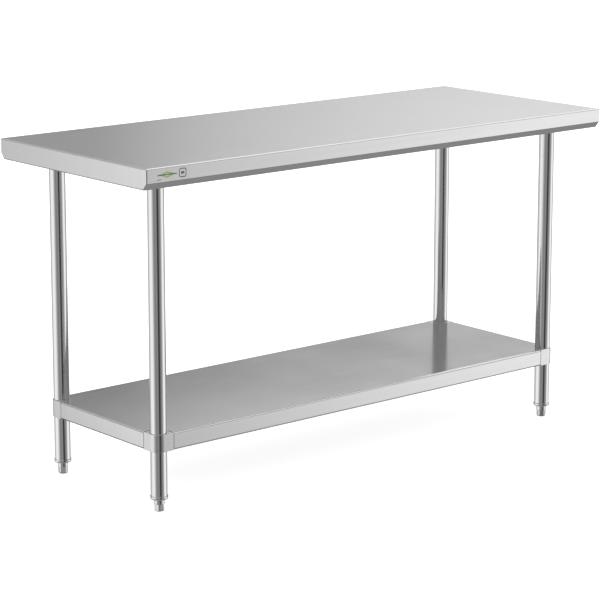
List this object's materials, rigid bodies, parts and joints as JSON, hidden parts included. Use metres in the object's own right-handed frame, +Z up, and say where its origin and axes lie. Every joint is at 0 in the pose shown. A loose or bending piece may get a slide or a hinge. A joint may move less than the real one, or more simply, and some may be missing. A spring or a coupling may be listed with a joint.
{
  "type": "work table",
  "caption": "Stainless work table: folded top on hat channels, tube legs with screw-out bullet feet, and a flanged undershelf that slides on the legs.",
  "frame": {"origin": "on the floor under the middle of the table", "axes": "+X along the table's length towards its right end, +Y to its back, +Z up"},
  "size_m": [1.524, 0.6097, 0.8636],
  "materials": {
    "satin_sheet": "satin",
    "polished_tube": "polished",
    "formed_bracket": "satin",
    "polished_plug": "polished",
    "polished_foot": "polished",
    "cast_socket": "matte",
    "galvanised_channel": "satin",
    "plated_fastener": "satin",
    "black_screw": "satin",
    "foil_label": "satin"
  },
  "bodies": {
    "frame": {"table_top": "satin_sheet", "top_long_channel": "galvanised_channel", "top_cross_channel_left": "galvanised_channel", "top_cross_channel_right": "galvanised_channel", "channel_weld_studs": "plated_fastener", "channel_nuts": "plated_fastener", "socket_set_screws": "black_screw", "leg_plug_nuts": "plated_fastener", "front_label": "foil_label", "leg_front_left": "polished_tube", "leg_socket_front_left": "cast_socket", "leg_end_plug_front_left": "polished_plug", "leg_front_right": "polished_tube", "leg_socket_front_right": "cast_socket", "leg_end_plug_front_right": "polished_plug", "leg_back_left": "polished_tube", "leg_socket_back_left": "cast_socket", "leg_end_plug_back_left": "polished_plug", "leg_back_right": "polished_tube", "leg_socket_back_right": "cast_socket", "leg_end_plug_back_right": "polished_plug"},
    "undershelf": {"shelf_panel": "satin_sheet", "shelf_channel": "galvanised_channel", "shelf_set_screws": "black_screw", "shelf_bracket_front_left": "formed_bracket", "shelf_bracket_front_right": "formed_bracket", "shelf_bracket_back_left": "formed_bracket", "shelf_bracket_back_right": "formed_bracket"},
    "foot_front_left": {"foot_front_left": "polished_foot", "foot_thread_front_left": "plated_fastener"},
    "foot_front_right": {"foot_front_right": "polished_foot", "foot_thread_front_right": "plated_fastener"},
    "foot_back_left": {"foot_back_left": "polished_foot", "foot_thread_back_left": "plated_fastener"},
    "foot_back_right": {"foot_back_right": "polished_foot", "foot_thread_back_right": "plated_fastener"}
  },
  "joints": [
    {"name": "shelf_height", "type": "slide", "parent": "frame", "child": "undershelf", "axis": [0, 0, 1], "range_m": [-0.108, 0.6]},
    {"name": "foot_screw_front_left", "type": "slide", "parent": "frame", "child": "foot_front_left", "axis": [0, 0, -1], "range_m": [0, 0.025]},
    {"name": "foot_screw_front_right", "type": "slide", "parent": "frame", "child": "foot_front_right", "axis": [0, 0, -1], "range_m": [0, 0.025]},
    {"name": "foot_screw_back_left", "type": "slide", "parent": "frame", "child": "foot_back_left", "axis": [0, 0, -1], "range_m": [0, 0.025]},
    {"name": "foot_screw_back_right", "type": "slide", "parent": "frame", "child": "foot_back_right", "axis": [0, 0, -1], "range_m": [0, 0.025]}
  ]
}
